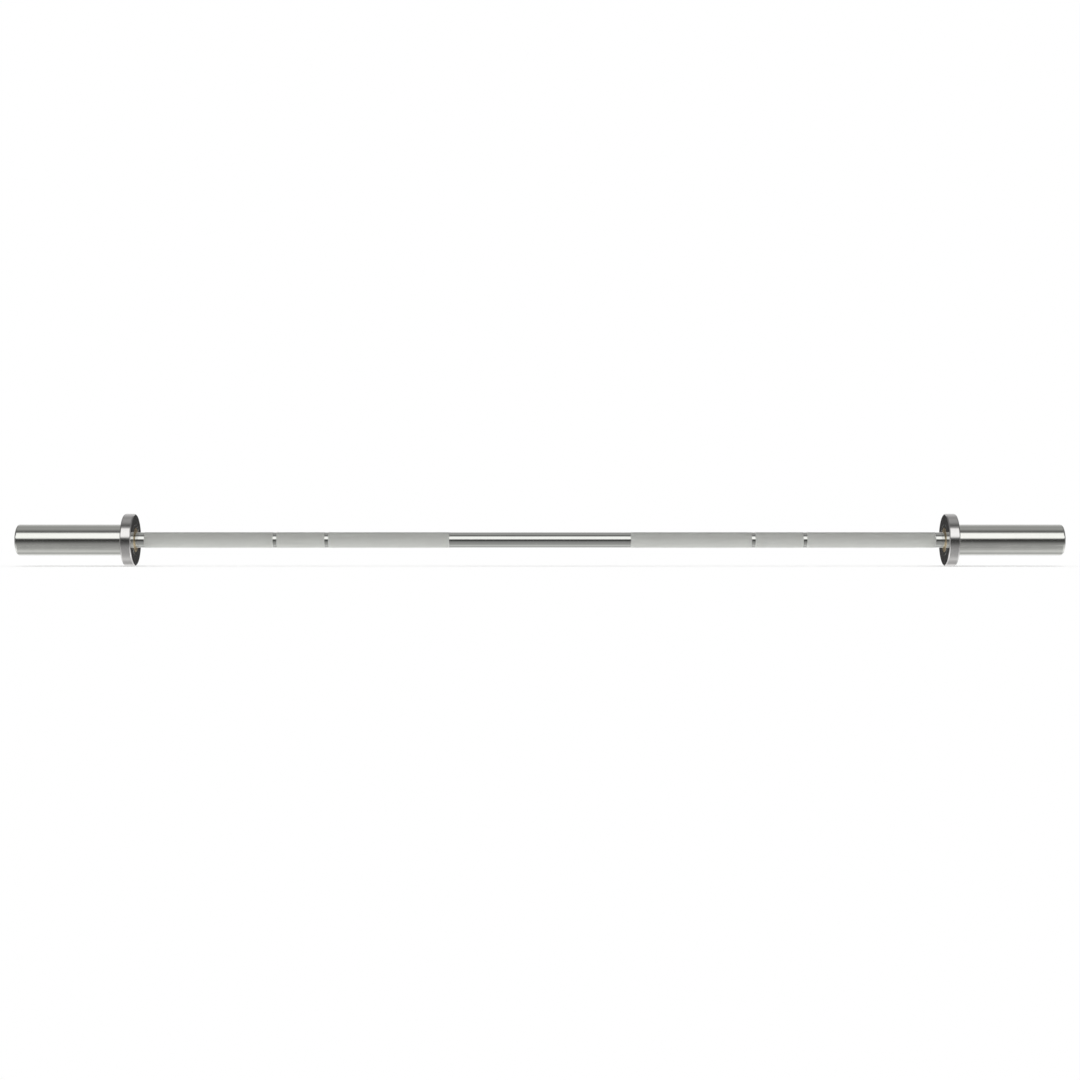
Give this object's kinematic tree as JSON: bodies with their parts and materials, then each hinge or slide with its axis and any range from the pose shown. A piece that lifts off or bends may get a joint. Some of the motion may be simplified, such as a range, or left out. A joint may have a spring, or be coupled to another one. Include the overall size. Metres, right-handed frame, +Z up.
{
  "type": "technique barbell",
  "caption": "Straight training bar with a knurled steel shaft, smooth ring marks, and at each end a free-spinning smooth sleeve with a round plate collar.",
  "frame": {"origin": "middle of the bar, on the shaft's axis", "axes": "+X along the bar towards its right end, +Z up, and +Y away from the viewer"},
  "size_m": [1.7, 0.085, 0.085],
  "materials": {
    "shaft_chrome": "hard chromed steel, bright where smooth and satin on the knurled grips",
    "sleeve_metal": "polished, with faint turning lines",
    "collar_metal": "turned faces and a polished rim",
    "bushing_bronze": "machined bronze, oiled",
    "washer_steel": "ground steel",
    "spring_steel": "dark phosphated spring steel",
    "end_cap_metal": "satin turned face",
    "seal_rubber": "matt black rubber"
  },
  "bodies": {
    "bar": {"shaft": "shaft_chrome", "left_inner_thrust_washer": "bushing_bronze", "left_outer_thrust_washer": "washer_steel", "left_shaft_snap_ring": "spring_steel", "right_inner_thrust_washer": "bushing_bronze", "right_outer_thrust_washer": "washer_steel", "right_shaft_snap_ring": "spring_steel"},
    "left_sleeve": {"left_sleeve": "sleeve_metal", "left_collar": "collar_metal", "left_inner_bushing": "bushing_bronze", "left_outer_bushing": "bushing_bronze", "left_end_cap": "end_cap_metal", "left_end_cap_seal": "seal_rubber", "left_end_cap_snap_ring": "spring_steel"},
    "right_sleeve": {"right_sleeve": "sleeve_metal", "right_collar": "collar_metal", "right_inner_bushing": "bushing_bronze", "right_outer_bushing": "bushing_bronze", "right_end_cap": "end_cap_metal", "right_end_cap_seal": "seal_rubber", "right_end_cap_snap_ring": "spring_steel"}
  },
  "joints": [
    {"name": "left_sleeve_spin", "type": "hinge", "parent": "bar", "child": "left_sleeve", "pos_m": [-0.6585, 0, 0], "axis": [1, 0, 0], "continuous": true},
    {"name": "right_sleeve_spin", "type": "hinge", "parent": "bar", "child": "right_sleeve", "pos_m": [0.6585, 0, 0], "axis": [1, 0, 0], "continuous": true}
  ]
}
